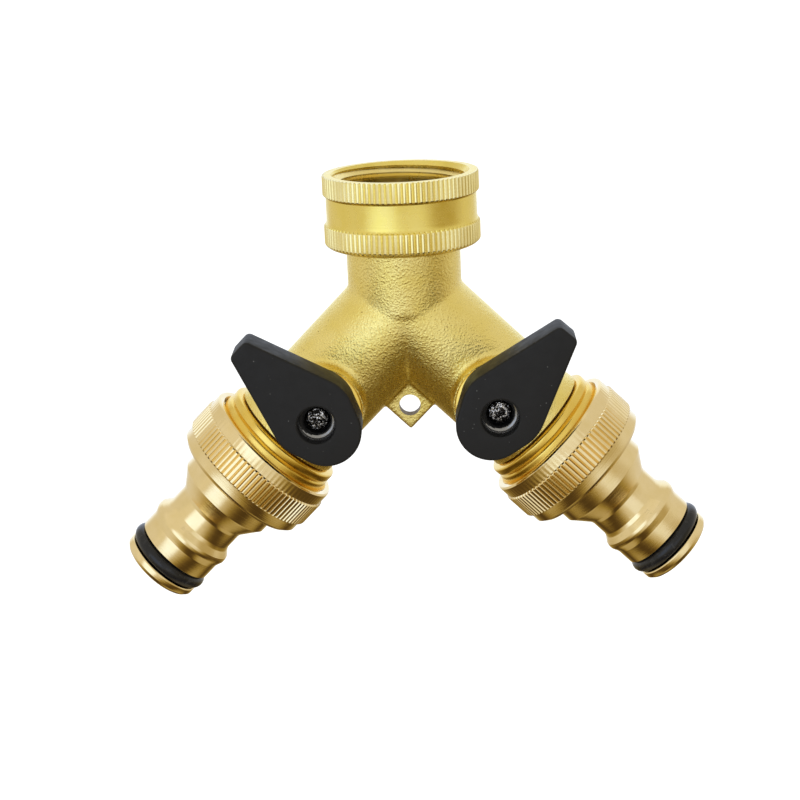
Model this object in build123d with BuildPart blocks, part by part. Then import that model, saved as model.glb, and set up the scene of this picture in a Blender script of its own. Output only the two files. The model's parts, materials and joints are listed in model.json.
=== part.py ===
from build123d import *
import math
import os

# Two-outlet hose splitter, all sizes in millimetres.
# Frame: the origin is the centre of the washer face that a tap's spout seals on, +Z points
# up and out of the inlet, the levers face -Y, and the outlets hang down to -X and +X.

# ---- driving dimensions -------------------------------------------------------------------

# layout
JUNCTION_DEPTH = 19.6          # from the washer face down to where the three pipe axes meet
BRANCH_ANGLE = 45.0            # between each branch and straight down
PIVOT_S = 25.33                # lever axis, measured along the branch from the junction

# neck and branches of the casting
NECK_R = 11.4
NECK_BORE_R = 8.0
BRANCH_R = 11.1
BRANCH_FLARE_R = 11.7          # the branch widens to this at its machined end
BRANCH_BORE_R = 6.0
BLEND_R = 2.6                  # cast blend where the neck meets the branches

# valve boss and its bores
BOSS_R = 8.9
BOSS_TOP = 15.6                # distance in front of the branch axis
STEM_HOLE_R = 3.0
STEM_POCKET_R = 4.3
STEM_POCKET_TOP = 10.6

# ball valve
BALL_R = 8.0
BALL_BORE_R = 5.0
BALL_SLOT_W = 2.4
BALL_SLOT_DEPTH = 2.0
CAVITY_R = 8.9
SEAT_BORE_R = 5.0
SEAT_GAP = 0.1                 # running clearance between ball and seat
SEAT_NEAR = 5.2                # seat faces, measured from the ball's centre
SEAT_FAR = 8.2
RETAINER_R = 9.6
RETAINER_LENGTH = 5.0

# outlet end of the casting
UNDERCUT_S = 36.1
COLLAR_S = 36.6
COLLAR_END_S = 38.3
COLLAR_GROOVE_R = 12.6
COLLAR_R = 13.15
THREAD_R = 13.1                # plain cylinder at the crest of the male thread
SPIGOT_END_S = 47.6

# hanging lug
LUG_SIDE = 7.35
LUG_DROP = 20.7                # centre of the lug below the junction
LUG_THICKNESS = 2.8
LUG_HOLE_R = 2.2
LUG_HOLE_DROP = 20.8

# swivel nut
NUT_TOP_RISE = 7.7             # rim above the washer face
NUT_HEIGHT = 15.1
NUT_TOOTH_R = 15.75
NUT_ROOT_R = 15.35
NUT_WAIST_R = 15.15
NUT_UPPER_BAND = 4.0
NUT_LOWER_BAND = 5.1
NUT_TEETH = 90
NUT_THREAD_R = 12.5            # plain wall at the crest of the female thread
NUT_MOUTH_R = 13.85
NUT_RELIEF_R = 12.8
NUT_FLOOR = 3.1
NUT_JOURNAL_GAP = 0.08

# retaining ring and washer of the swivel nut
RING_GROOVE_R = 10.3
RING_R = 12.1
RING_HEIGHT = 1.3
RING_SPLIT = 2.0
AXIAL_GAP = 0.1
WASHER_THICKNESS = 2.4
WASHER_R = 12.2
WASHER_HOLE_R = 8.0

# click connector
CONN_MOUTH_S = 39.9
CONN_RIM_R = 15.2
CONN_FLANGE_R = 14.95
CONN_RIM_END_S = 42.7
CONN_TOOTH_R = 15.6
CONN_ROOT_R = 15.15
CONN_TEETH = 90
CONN_KNURL_END_S = 48.4
CONN_BODY_END_S = 51.3
CONN_SHOULDER_R = 10.55
CONN_SHOULDER_END_S = 55.85
CONN_NECK_R = 7.65
CONN_NECK_START_S = 59.6
CONN_NECK_END_S = 63.7
CONN_RIDGE_R = 9.05
CONN_RIDGE_START_S = 65.5
CONN_RIDGE_END_S = 66.8
CONN_NOSE_R = 8.5
CONN_NOSE_START_S = 68.1
CONN_GROOVE_START_S = 71.65
CONN_GROOVE_R = 6.0
CONN_LIP_START_S = 75.05
CONN_LIP_R = 8.5
CONN_END_S = 77.4
CONN_BORE_R = 4.75
CONN_THREAD_R = 13.15
CONN_SOCKET_END_S = 50.1
O_RING_SECTION_R = 1.5
CONN_WASHER_R = 12.6
CONN_WASHER_HOLE_R = 6.5

# stem and lever
STEM_R = 2.95
STEM_COLLAR_R = 4.15
STEM_COLLAR_BOTTOM = 8.2
STEM_COLLAR_TOP = 9.8
STEM_SQUARE = 4.2
STEM_ROUND_TOP = 15.7
STEM_TOP = 17.5
STEM_TANG_DEEP = 6.2
STEM_TAP_R = 1.2
STEM_GROOVES = (11.9, 13.7)    # O-ring centres, in front of the branch axis
STEM_GROOVE_R = 2.05
STEM_O_RING_SECTION_R = 0.45
SCREW_SHANK_R = 1.15
SCREW_LENGTH = 5.5
SCREW_HEAD_R = 2.65
SCREW_SEAT = 18.6
SCREW_HEAD = 1.7
LEVER_BACK = 16.0
LEVER_FACE = 24.6
LEVER_END_R = 7.0
LEVER_END_U = -2.3             # centre of the round end, measured from the pivot
LEVER_BELLY_R = 8.3            # widest part, just beyond the pivot
LEVER_BELLY_U = 1.5
LEVER_BELLY_V = -0.5
LEVER_END_V = -0.2
LEVER_TIP_U = 21.3
LEVER_TIP_V = -0.85
LEVER_TIP_HALF = 2.6
LEVER_TIP_CORNER = 1.2
LEVER_EDGE = 0.7
LEVER_LEAN = {-1: 0.0, 1: 2.5}   # degrees each closed lever stands off square, seen from the front
LEVER_HUB_R = 4.4
LEVER_HUB_BACK = 15.75
POCKET_R = 3.8
POCKET_STEP_R = 2.8
POCKET_STEP = 21.4
SOCKET_GAP = 0.04

# ---- derived frames -----------------------------------------------------------------------

JUNCTION = Vector(0, 0, -JUNCTION_DEPTH)
FRONT = Vector(0, -1, 0)
SIDES = {"left": -1, "right": 1}
SIN_B = math.sin(math.radians(BRANCH_ANGLE))
COS_B = math.cos(math.radians(BRANCH_ANGLE))
NUT_TOP = NUT_TOP_RISE
NUT_BOTTOM = NUT_TOP_RISE - NUT_HEIGHT
NECK_TOP = -WASHER_THICKNESS


def branch_direction(side):
    """Unit vector from the junction out along a branch."""
    return Vector(side * SIN_B, 0, -COS_B)


def lever_direction(side):
    """Unit vector from the pivot towards the tip of a closed lever."""
    return Vector(side * COS_B, 0, SIN_B)


def handle_direction(side):
    """Unit vector from the pivot to the tip of the lever as it stands when closed."""
    return lever_direction(side).rotate(Axis((0, 0, 0), FRONT), LEVER_LEAN[side])


def branch_point(side, s):
    return JUNCTION + branch_direction(side) * s


def branch_axis(side):
    return Axis(JUNCTION, branch_direction(side))


def branch_plane(side):
    """Half-section plane of a branch: local x is the radius, local y runs along the pipe."""
    out = lever_direction(side)
    return Plane(JUNCTION, x_dir=out, z_dir=out.cross(branch_direction(side)))


def cross_plane(side, s):
    """Plane across a branch at distance s, facing its outlet."""
    return Plane(branch_point(side, s), x_dir=lever_direction(side), z_dir=branch_direction(side))


def stem_plane(side):
    """Half-section plane of a stem: local x is the radius, local y the distance in front."""
    out = branch_direction(side)
    return Plane(branch_point(side, PIVOT_S), x_dir=out, z_dir=out.cross(FRONT))


def stem_axis(side):
    return Axis(branch_point(side, PIVOT_S), FRONT)


def lever_plane(side, distance):
    """Plane parallel to the front, with local x towards the lever's tip."""
    origin = branch_point(side, PIVOT_S) + FRONT * distance
    return Plane(origin, x_dir=handle_direction(side), z_dir=FRONT)


def toothed_ring(plane, height, tooth_r, root_r, inner_r, teeth):
    """Band of straight knurling: rounded-off teeth around an open ring."""
    pitch = 2 * math.pi / teeth
    outline = []
    for tooth in range(teeth):
        for share, radius in ((-0.5, root_r), (-0.22, tooth_r), (0.22, tooth_r)):
            turn = (tooth + share) * pitch
            outline.append((radius * math.cos(turn), radius * math.sin(turn)))
    with BuildPart() as band:
        with BuildSketch(plane):
            with BuildLine():
                Polyline(*outline, close=True)
            make_face()
            Circle(inner_r, mode=Mode.SUBTRACT)
        extrude(amount=height)
    return band.part


def ring_section(plane, axis, inner_r, outer_r, low, high):
    """Plain turned ring."""
    with BuildPart() as ring:
        with BuildSketch(plane):
            with Locations(((inner_r + outer_r) / 2, (low + high) / 2)):
                Rectangle(outer_r - inner_r, high - low)
        revolve(axis=axis)
    return ring.part


def finished(part, label):
    """Names a finished piece and writes it to its own file."""
    part.label = label
    export_step(part, f"parts/{label}.step")
    return part


# ---- casting ------------------------------------------------------------------------------

def body_casting():
    ring_low = NUT_BOTTOM + NUT_FLOOR + AXIAL_GAP
    with BuildPart() as casting:
        # neck and the two branches, blended like a casting
        with BuildSketch(Plane(JUNCTION)):
            Circle(NECK_R)
        extrude(amount=JUNCTION_DEPTH + NECK_TOP)
        for side in SIDES.values():
            with BuildSketch(branch_plane(side)):
                with BuildLine():
                    Polyline(
                        (0, 0), (BRANCH_R, 0), (BRANCH_R, PIVOT_S + BOSS_R),
                        (BRANCH_FLARE_R, UNDERCUT_S), (0, UNDERCUT_S), close=True,
                    )
                make_face()
            revolve(axis=branch_axis(side))
        with Locations(Location(JUNCTION)):
            Sphere(BRANCH_R)
        curved = casting.edges().filter_by(GeomType.CIRCLE, reverse=True)
        creases = curved.filter_by(
            lambda edge: edge.center().Z > -JUNCTION_DEPTH and abs(edge.center().X) > 1
        )
        fillet(creases, BLEND_R)

        # valve bosses, machined collars and the threaded spigots
        for side in SIDES.values():
            with BuildSketch(stem_plane(side)):
                with Locations((BOSS_R / 2, BOSS_TOP / 2)):
                    Rectangle(BOSS_R, BOSS_TOP)
            revolve(axis=stem_axis(side))
            with BuildSketch(branch_plane(side)):
                with BuildLine():
                    Polyline(
                        (0, UNDERCUT_S), (BRANCH_FLARE_R - 0.4, UNDERCUT_S),
                        (BRANCH_FLARE_R - 0.4, COLLAR_S), (COLLAR_R - 0.4, COLLAR_S),
                        (COLLAR_R, COLLAR_S + 0.4), (COLLAR_R, COLLAR_END_S - 0.3),
                        (COLLAR_GROOVE_R, COLLAR_END_S + 0.1),
                        (COLLAR_GROOVE_R, COLLAR_END_S + 0.3),
                        (THREAD_R, COLLAR_END_S + 0.7), (THREAD_R, SPIGOT_END_S - 0.8),
                        (THREAD_R - 0.8, SPIGOT_END_S), (0, SPIGOT_END_S), close=True,
                    )
                make_face()
            revolve(axis=branch_axis(side))

        # hanging lug tucked into the crotch, its corner pointing down
        lug_centre = JUNCTION + Vector(0, LUG_THICKNESS / 2, -LUG_DROP)
        reach = 2.0
        with BuildSketch(Plane(lug_centre, x_dir=(1, 0, 0), z_dir=FRONT)):
            with Locations(Location((0, reach / math.sqrt(2)), 45)):
                RectangleRounded(LUG_SIDE + reach, LUG_SIDE + reach, 0.8)
        extrude(amount=LUG_THICKNESS)
        with BuildSketch(Plane(JUNCTION + Vector(0, LUG_THICKNESS, -LUG_HOLE_DROP), z_dir=FRONT)):
            Circle(LUG_HOLE_R)
        extrude(amount=2 * LUG_THICKNESS, mode=Mode.SUBTRACT)

        # groove for the retaining ring
        with BuildSketch(Plane.XY.offset(ring_low)):
            Circle(NECK_R + 1)
            Circle(RING_GROOVE_R, mode=Mode.SUBTRACT)
        extrude(amount=RING_HEIGHT, mode=Mode.SUBTRACT)

        # water way, valve cavities and stem holes
        with BuildSketch(Plane(JUNCTION)):
            Circle(NECK_BORE_R)
        extrude(amount=JUNCTION_DEPTH, mode=Mode.SUBTRACT)
        with Locations(Location(JUNCTION)):
            Sphere(NECK_BORE_R, mode=Mode.SUBTRACT)
        for side in SIDES.values():
            with BuildSketch(branch_plane(side)):
                with BuildLine():
                    Polyline(
                        (0, 0), (BRANCH_BORE_R, 0), (BRANCH_BORE_R, PIVOT_S - SEAT_FAR),
                        (CAVITY_R, PIVOT_S - SEAT_FAR), (CAVITY_R, PIVOT_S + SEAT_FAR),
                        (RETAINER_R, PIVOT_S + SEAT_FAR), (RETAINER_R, SPIGOT_END_S + 1),
                        (0, SPIGOT_END_S + 1), close=True,
                    )
                make_face()
            revolve(axis=branch_axis(side), mode=Mode.SUBTRACT)
            with BuildSketch(stem_plane(side)):
                with BuildLine():
                    Polyline(
                        (0, 0), (STEM_POCKET_R, 0), (STEM_POCKET_R, STEM_POCKET_TOP),
                        (STEM_HOLE_R, STEM_POCKET_TOP), (STEM_HOLE_R, BOSS_TOP + 1),
                        (0, BOSS_TOP + 1), close=True,
                    )
                make_face()
            revolve(axis=stem_axis(side), mode=Mode.SUBTRACT)
    return finished(casting.part, "body_casting")


# ---- swivel nut and what holds it ---------------------------------------------------------

def inlet_nut():
    journal_r = NECK_R + NUT_JOURNAL_GAP
    floor_top = NUT_BOTTOM + NUT_FLOOR
    waist_low = NUT_BOTTOM + NUT_LOWER_BAND
    waist_high = NUT_TOP - NUT_UPPER_BAND
    chamfer_in = 1.6
    with BuildPart() as nut:
        add(toothed_ring(Plane.XY.offset(NUT_BOTTOM), NUT_LOWER_BAND,
                         NUT_TOOTH_R, NUT_ROOT_R, NUT_RELIEF_R, NUT_TEETH))
        add(toothed_ring(Plane.XY.offset(waist_high), NUT_UPPER_BAND,
                         NUT_TOOTH_R, NUT_ROOT_R, NUT_RELIEF_R, NUT_TEETH))
        # turned envelope: chamfered bottom edge and a lightly broken rim
        with BuildSketch(Plane.XZ):
            with BuildLine():
                Polyline(
                    (0, NUT_BOTTOM), (NUT_TOOTH_R - 2 * chamfer_in, NUT_BOTTOM),
                    (NUT_TOOTH_R + 0.1, NUT_BOTTOM + chamfer_in + 0.2),
                    (NUT_TOOTH_R + 0.1, NUT_TOP - 0.45), (NUT_TOOTH_R - 0.5, NUT_TOP),
                    (0, NUT_TOP), close=True,
                )
            make_face()
        revolve(axis=Axis.Z, mode=Mode.INTERSECT)
        # turned body with the thread wall, washer space and inner floor
        with BuildSketch(Plane.XZ):
            with BuildLine():
                Polyline(
                    (journal_r, NUT_BOTTOM), (NUT_TOOTH_R - 2 * chamfer_in, NUT_BOTTOM),
                    (NUT_ROOT_R - 0.2, NUT_BOTTOM + chamfer_in), (NUT_ROOT_R - 0.2, waist_low),
                    (NUT_WAIST_R, waist_low + 0.8), (NUT_WAIST_R, waist_high),
                    (NUT_ROOT_R - 0.2, NUT_TOP - 0.3), (NUT_ROOT_R - 0.4, NUT_TOP),
                    (NUT_MOUTH_R, NUT_TOP), (NUT_THREAD_R, NUT_TOP - 1.35),
                    (NUT_THREAD_R, 0), (NUT_RELIEF_R, -0.5), (NUT_RELIEF_R, floor_top),
                    (journal_r, floor_top), close=True,
                )
            make_face()
        revolve(axis=Axis.Z)
        # opens the mouth and the thread through the toothed bands
        with BuildSketch(Plane.XZ):
            with BuildLine():
                Polyline(
                    (0, NUT_TOP + 1), (NUT_MOUTH_R + 1, NUT_TOP + 1), (NUT_MOUTH_R, NUT_TOP),
                    (NUT_THREAD_R, NUT_TOP - 1.35), (NUT_THREAD_R, 0), (0, 0), close=True,
                )
            make_face()
        revolve(axis=Axis.Z, mode=Mode.SUBTRACT)
    return finished(nut.part, "inlet_nut")


def nut_retaining_ring():
    ring_low = NUT_BOTTOM + NUT_FLOOR + AXIAL_GAP
    with BuildPart() as ring:
        with BuildSketch(Plane.XY.offset(ring_low)):
            Circle(RING_R)
            Circle(RING_GROOVE_R, mode=Mode.SUBTRACT)
            with Locations((0, RING_R)):
                Rectangle(RING_SPLIT, 2 * (RING_R - RING_GROOVE_R) + 2, mode=Mode.SUBTRACT)
        extrude(amount=RING_HEIGHT)
    return finished(ring.part, "nut_retaining_ring")


def inlet_washer():
    washer = ring_section(Plane.XZ, Axis.Z, WASHER_HOLE_R, WASHER_R, -WASHER_THICKNESS, 0)
    return finished(washer, "inlet_washer")


# ---- ball valves --------------------------------------------------------------------------

def valve_ball(name, side):
    with BuildPart() as ball:
        with Locations(Location(branch_point(side, PIVOT_S))):
            Sphere(BALL_R)
        # the closed lever turns the bore across the pipe
        bore_start = branch_point(side, PIVOT_S) - handle_direction(side) * 2 * BALL_R
        with BuildSketch(Plane(bore_start, z_dir=handle_direction(side))):
            Circle(BALL_BORE_R)
        extrude(amount=4 * BALL_R, mode=Mode.SUBTRACT)
        # drive slot across the bore, open to the front
        with BuildSketch(lever_plane(side, BALL_R - BALL_SLOT_DEPTH)):
            Rectangle(BALL_SLOT_W, 2 * BALL_R)
        extrude(amount=2 * BALL_SLOT_DEPTH, mode=Mode.SUBTRACT)
    return finished(ball.part, f"{name}_valve_ball")


def valve_seat(name, side, place, towards):
    """Seat ring with a dished face on the ball; towards is -1 upstream, +1 downstream."""
    near = PIVOT_S + towards * SEAT_NEAR
    far = PIVOT_S + towards * SEAT_FAR
    with BuildPart() as seat:
        with BuildSketch(branch_plane(side)):
            with Locations(((SEAT_BORE_R + CAVITY_R) / 2, (near + far) / 2)):
                Rectangle(CAVITY_R - SEAT_BORE_R, abs(far - near))
        revolve(axis=branch_axis(side))
        with Locations(Location(branch_point(side, PIVOT_S))):
            Sphere(BALL_R + SEAT_GAP, mode=Mode.SUBTRACT)
    return finished(seat.part, f"{name}_{place}_seat")


def seat_retainer(name, side):
    low = PIVOT_S + SEAT_FAR
    high = low + RETAINER_LENGTH
    key_w = 2.5
    with BuildPart() as retainer:
        with BuildSketch(branch_plane(side)):
            with BuildLine():
                Polyline(
                    (SEAT_BORE_R, low), (RETAINER_R, low), (RETAINER_R, high - 0.4),
                    (RETAINER_R - 0.4, high), (SEAT_BORE_R + 0.8, high),
                    (SEAT_BORE_R, high - 0.8), close=True,
                )
            make_face()
        revolve(axis=branch_axis(side))
        # two key slots for the fitting wrench
        with BuildSketch(cross_plane(side, high)):
            Rectangle(2 * RETAINER_R + 2, key_w)
        extrude(amount=-1.5, mode=Mode.SUBTRACT)
    return finished(retainer.part, f"{name}_seat_retainer")


def valve_stem(name, side):
    with BuildPart() as stem:
        with BuildSketch(stem_plane(side)):
            with BuildLine():
                Polyline(
                    (0, STEM_COLLAR_BOTTOM), (STEM_COLLAR_R, STEM_COLLAR_BOTTOM),
                    (STEM_COLLAR_R, STEM_COLLAR_TOP), (STEM_R, STEM_COLLAR_TOP),
                    (STEM_R, STEM_ROUND_TOP), (0, STEM_ROUND_TOP), close=True,
                )
            make_face()
        revolve(axis=stem_axis(side))
        for centre in STEM_GROOVES:
            half = STEM_O_RING_SECTION_R + 0.1
            with BuildSketch(stem_plane(side)):
                with Locations(((STEM_GROOVE_R + STEM_R + 1) / 2, centre)):
                    Rectangle(STEM_R + 1 - STEM_GROOVE_R, 2 * half)
            revolve(axis=stem_axis(side), mode=Mode.SUBTRACT)
        # tang into the ball's slot and the square for the lever
        with BuildSketch(lever_plane(side, STEM_TANG_DEEP)):
            Rectangle(BALL_SLOT_W - 0.2, 2 * STEM_R)
        extrude(amount=STEM_COLLAR_BOTTOM - STEM_TANG_DEEP)
        with BuildSketch(lever_plane(side, STEM_ROUND_TOP)):
            Rectangle(STEM_SQUARE, STEM_SQUARE)
        extrude(amount=STEM_TOP - STEM_ROUND_TOP)
        with BuildSketch(lever_plane(side, STEM_TOP)):
            Circle(STEM_TAP_R)
        extrude(amount=-SCREW_LENGTH, mode=Mode.SUBTRACT)
    return finished(stem.part, f"{name}_valve_stem")


def stem_washer(name, side):
    washer = ring_section(stem_plane(side), stem_axis(side), STEM_R + 0.05,
                          STEM_POCKET_R - 0.1, STEM_COLLAR_TOP, STEM_POCKET_TOP - 0.05)
    return finished(washer, f"{name}_stem_washer")


def stem_o_rings(name, side):
    centre_r = STEM_GROOVE_R + STEM_O_RING_SECTION_R
    with BuildPart() as rings:
        for centre in STEM_GROOVES:
            with BuildSketch(stem_plane(side)):
                with Locations((centre_r, centre)):
                    Circle(STEM_O_RING_SECTION_R)
            revolve(axis=stem_axis(side))
    return finished(rings.part, f"{name}_stem_o_rings")


# ---- levers -------------------------------------------------------------------------------

def lever(name, side):
    turn = -side                # local y of the lever plane points inboard on the right
    with BuildPart() as handle:
        with BuildSketch(lever_plane(side, LEVER_BACK)):
            with Locations((LEVER_END_U, turn * LEVER_END_V)):
                Circle(LEVER_END_R)
            with Locations((LEVER_BELLY_U, turn * LEVER_BELLY_V)):
                Circle(LEVER_BELLY_R)
            for offset_v in (-1, 1):
                corner_v = LEVER_TIP_V + offset_v * (LEVER_TIP_HALF - LEVER_TIP_CORNER)
                with Locations((LEVER_TIP_U - LEVER_TIP_CORNER, turn * corner_v)):
                    Circle(LEVER_TIP_CORNER)
            make_hull()
        extrude(amount=LEVER_FACE - LEVER_BACK)
        face_edges = handle.faces().sort_by(Axis.Y)[0].edges()
        fillet(face_edges, LEVER_EDGE)
        back_edges = handle.faces().sort_by(Axis.Y)[-1].edges()
        fillet(back_edges, LEVER_EDGE / 2)
        # hub around the stem
        with BuildSketch(lever_plane(side, LEVER_HUB_BACK)):
            Circle(LEVER_HUB_R)
        extrude(amount=LEVER_BACK - LEVER_HUB_BACK + 1)
        # stepped screw pocket with a rounded mouth
        with BuildSketch(stem_plane(side)):
            with BuildLine():
                Polyline(
                    (0, SCREW_SEAT), (POCKET_STEP_R, SCREW_SEAT),
                    (POCKET_STEP_R, POCKET_STEP - 0.4), (POCKET_STEP_R + 0.4, POCKET_STEP),
                    (POCKET_R - 0.3, POCKET_STEP), (POCKET_R, POCKET_STEP + 0.3),
                    (POCKET_R, LEVER_FACE - 0.4), (POCKET_R + 0.4, LEVER_FACE),
                    (POCKET_R + 0.4, LEVER_FACE + 1), (0, LEVER_FACE + 1), close=True,
                )
            make_face()
        revolve(axis=stem_axis(side), mode=Mode.SUBTRACT)
        # square socket and the screw hole through the web
        with BuildSketch(lever_plane(side, LEVER_HUB_BACK)):
            Rectangle(STEM_SQUARE + 2 * SOCKET_GAP, STEM_SQUARE + 2 * SOCKET_GAP)
        extrude(amount=STEM_TOP - LEVER_HUB_BACK + SOCKET_GAP, mode=Mode.SUBTRACT)
        with BuildSketch(lever_plane(side, STEM_TOP)):
            Circle(SCREW_SHANK_R + 0.15)
        extrude(amount=SCREW_SEAT - STEM_TOP + 0.5, mode=Mode.SUBTRACT)
    return finished(handle.part, f"{name}_lever")


def lever_screw(name, side):
    head_top = SCREW_SEAT + SCREW_HEAD
    shank_end = SCREW_SEAT - SCREW_LENGTH + 0.4
    recess_w = 0.75
    recess_l = 2.9
    with BuildPart() as screw:
        with BuildSketch(stem_plane(side)):
            with BuildLine():
                Polyline(
                    (0, shank_end), (SCREW_SHANK_R - 0.3, shank_end),
                    (SCREW_SHANK_R, shank_end + 0.4), (SCREW_SHANK_R, SCREW_SEAT),
                    (SCREW_HEAD_R, SCREW_SEAT), (SCREW_HEAD_R, SCREW_SEAT + 0.9),
                )
                ThreePointArc((SCREW_HEAD_R, SCREW_SEAT + 0.9), (1.6, head_top - 0.3), (0, head_top))
                Line((0, head_top), (0, shank_end))
            make_face()
        revolve(axis=stem_axis(side))
        # cross recess
        with BuildSketch(lever_plane(side, head_top - 1.1)):
            Rectangle(recess_l, recess_w)
            Rectangle(recess_w, recess_l)
        extrude(amount=2, mode=Mode.SUBTRACT)
    return finished(screw.part, f"{name}_lever_screw")


# ---- click connectors ---------------------------------------------------------------------

def adapter(name, side):
    knurl_start = cross_plane(side, CONN_RIM_END_S)
    with BuildPart() as connector:
        add(toothed_ring(knurl_start, CONN_KNURL_END_S - CONN_RIM_END_S,
                         CONN_TOOTH_R, CONN_ROOT_R, CONN_THREAD_R + 0.5, CONN_TEETH))
        # turned envelope breaks the ends of the teeth
        with BuildSketch(branch_plane(side)):
            with BuildLine():
                Polyline(
                    (0, CONN_RIM_END_S), (CONN_TOOTH_R - 0.3, CONN_RIM_END_S),
                    (CONN_TOOTH_R + 0.1, CONN_RIM_END_S + 0.4),
                    (CONN_TOOTH_R + 0.1, CONN_KNURL_END_S - 0.4),
                    (CONN_TOOTH_R - 0.3, CONN_KNURL_END_S), (0, CONN_KNURL_END_S), close=True,
                )
            make_face()
        revolve(axis=branch_axis(side), mode=Mode.INTERSECT)
        with BuildSketch(branch_plane(side)):
            with BuildLine():
                Polyline(
                    (CONN_THREAD_R + 0.5, CONN_MOUTH_S), (CONN_RIM_R - 0.4, CONN_MOUTH_S),
                    (CONN_RIM_R, CONN_MOUTH_S + 0.4), (CONN_RIM_R, CONN_RIM_END_S),
                    (CONN_ROOT_R - 0.2, CONN_RIM_END_S), (CONN_ROOT_R - 0.2, CONN_KNURL_END_S),
                    (CONN_FLANGE_R, CONN_KNURL_END_S), (CONN_FLANGE_R, CONN_BODY_END_S - 0.9),
                    (CONN_FLANGE_R - 0.9, CONN_BODY_END_S), (CONN_SHOULDER_R, CONN_BODY_END_S),
                    (CONN_SHOULDER_R, CONN_SHOULDER_END_S - 0.3),
                    (CONN_SHOULDER_R - 0.3, CONN_SHOULDER_END_S),
                    (CONN_NECK_R, CONN_NECK_START_S), (CONN_NECK_R, CONN_NECK_END_S),
                    (CONN_RIDGE_R, CONN_RIDGE_START_S), (CONN_RIDGE_R, CONN_RIDGE_END_S),
                    (CONN_NOSE_R, CONN_NOSE_START_S), (CONN_NOSE_R, CONN_GROOVE_START_S),
                    (CONN_GROOVE_R, CONN_GROOVE_START_S), (CONN_GROOVE_R, CONN_LIP_START_S),
                    (CONN_LIP_R - 0.2, CONN_LIP_START_S), (CONN_LIP_R, CONN_LIP_START_S + 0.2),
                    (CONN_LIP_R, CONN_END_S - 0.8), (CONN_LIP_R - 0.8, CONN_END_S),
                    (CONN_BORE_R + 0.6, CONN_END_S), (CONN_BORE_R, CONN_END_S - 0.6),
                    (CONN_BORE_R, CONN_SHOULDER_END_S),
                    (CONN_WASHER_HOLE_R, CONN_SOCKET_END_S + 0.8),
                    (CONN_WASHER_HOLE_R, CONN_SOCKET_END_S), (CONN_THREAD_R, CONN_SOCKET_END_S),
                    (CONN_THREAD_R, CONN_MOUTH_S + 0.5), close=True,
                )
            make_face()
        revolve(axis=branch_axis(side))
    return finished(connector.part, f"{name}_adapter")


def adapter_washer(name, side):
    washer = ring_section(branch_plane(side), branch_axis(side), CONN_WASHER_HOLE_R,
                          CONN_WASHER_R, SPIGOT_END_S, CONN_SOCKET_END_S)
    return finished(washer, f"{name}_adapter_washer")


def adapter_o_ring(name, side):
    centre_s = (CONN_GROOVE_START_S + CONN_LIP_START_S) / 2
    with BuildPart() as ring:
        with BuildSketch(branch_plane(side)):
            with Locations((CONN_GROOVE_R + O_RING_SECTION_R, centre_s)):
                Circle(O_RING_SECTION_R)
        revolve(axis=branch_axis(side))
    return finished(ring.part, f"{name}_adapter_o_ring")


# ---- the whole splitter -------------------------------------------------------------------

os.makedirs("parts", exist_ok=True)
body_casting()
inlet_nut()
nut_retaining_ring()
inlet_washer()
for side_name, side_sign in SIDES.items():
    valve_ball(side_name, side_sign)
    valve_seat(side_name, side_sign, "inner", -1)
    valve_seat(side_name, side_sign, "outer", 1)
    seat_retainer(side_name, side_sign)
    valve_stem(side_name, side_sign)
    stem_washer(side_name, side_sign)
    stem_o_rings(side_name, side_sign)
    lever(side_name, side_sign)
    lever_screw(side_name, side_sign)
    adapter(side_name, side_sign)
    adapter_washer(side_name, side_sign)
    adapter_o_ring(side_name, side_sign)
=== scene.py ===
import json
import math

import bmesh
import bpy
from mathutils import Matrix, Vector


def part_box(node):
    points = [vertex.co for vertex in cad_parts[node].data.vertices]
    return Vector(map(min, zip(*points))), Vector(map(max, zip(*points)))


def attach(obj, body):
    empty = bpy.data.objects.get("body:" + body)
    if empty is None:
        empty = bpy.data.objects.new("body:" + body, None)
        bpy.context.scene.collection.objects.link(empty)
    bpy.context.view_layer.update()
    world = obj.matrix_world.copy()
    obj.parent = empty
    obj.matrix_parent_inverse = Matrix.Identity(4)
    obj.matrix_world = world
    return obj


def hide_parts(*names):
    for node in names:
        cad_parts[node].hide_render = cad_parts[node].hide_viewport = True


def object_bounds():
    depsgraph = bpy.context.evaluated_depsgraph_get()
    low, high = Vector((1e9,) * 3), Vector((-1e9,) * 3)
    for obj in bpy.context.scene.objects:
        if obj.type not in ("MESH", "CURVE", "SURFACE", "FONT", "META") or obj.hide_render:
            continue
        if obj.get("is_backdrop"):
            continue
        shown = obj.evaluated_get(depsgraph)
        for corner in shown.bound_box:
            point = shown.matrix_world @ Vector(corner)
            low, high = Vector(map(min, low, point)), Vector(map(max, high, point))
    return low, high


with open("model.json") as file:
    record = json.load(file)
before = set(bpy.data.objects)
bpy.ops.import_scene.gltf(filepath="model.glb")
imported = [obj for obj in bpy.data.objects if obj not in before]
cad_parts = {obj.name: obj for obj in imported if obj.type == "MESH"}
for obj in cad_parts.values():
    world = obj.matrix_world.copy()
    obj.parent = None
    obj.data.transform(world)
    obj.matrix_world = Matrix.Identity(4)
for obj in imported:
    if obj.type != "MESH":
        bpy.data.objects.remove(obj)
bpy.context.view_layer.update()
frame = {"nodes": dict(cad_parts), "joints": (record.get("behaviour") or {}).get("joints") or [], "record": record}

# A cast brass hose splitter. Bench sizes are in millimetres; a piece is made upright on the
# bench, around +Z, and is then set in place on the pipe or valve that it belongs to.

MM = 0.001
SIDES = {"left": -1, "right": 1}

# ---- places taken from the frame ----------------------------------------------------------

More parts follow.
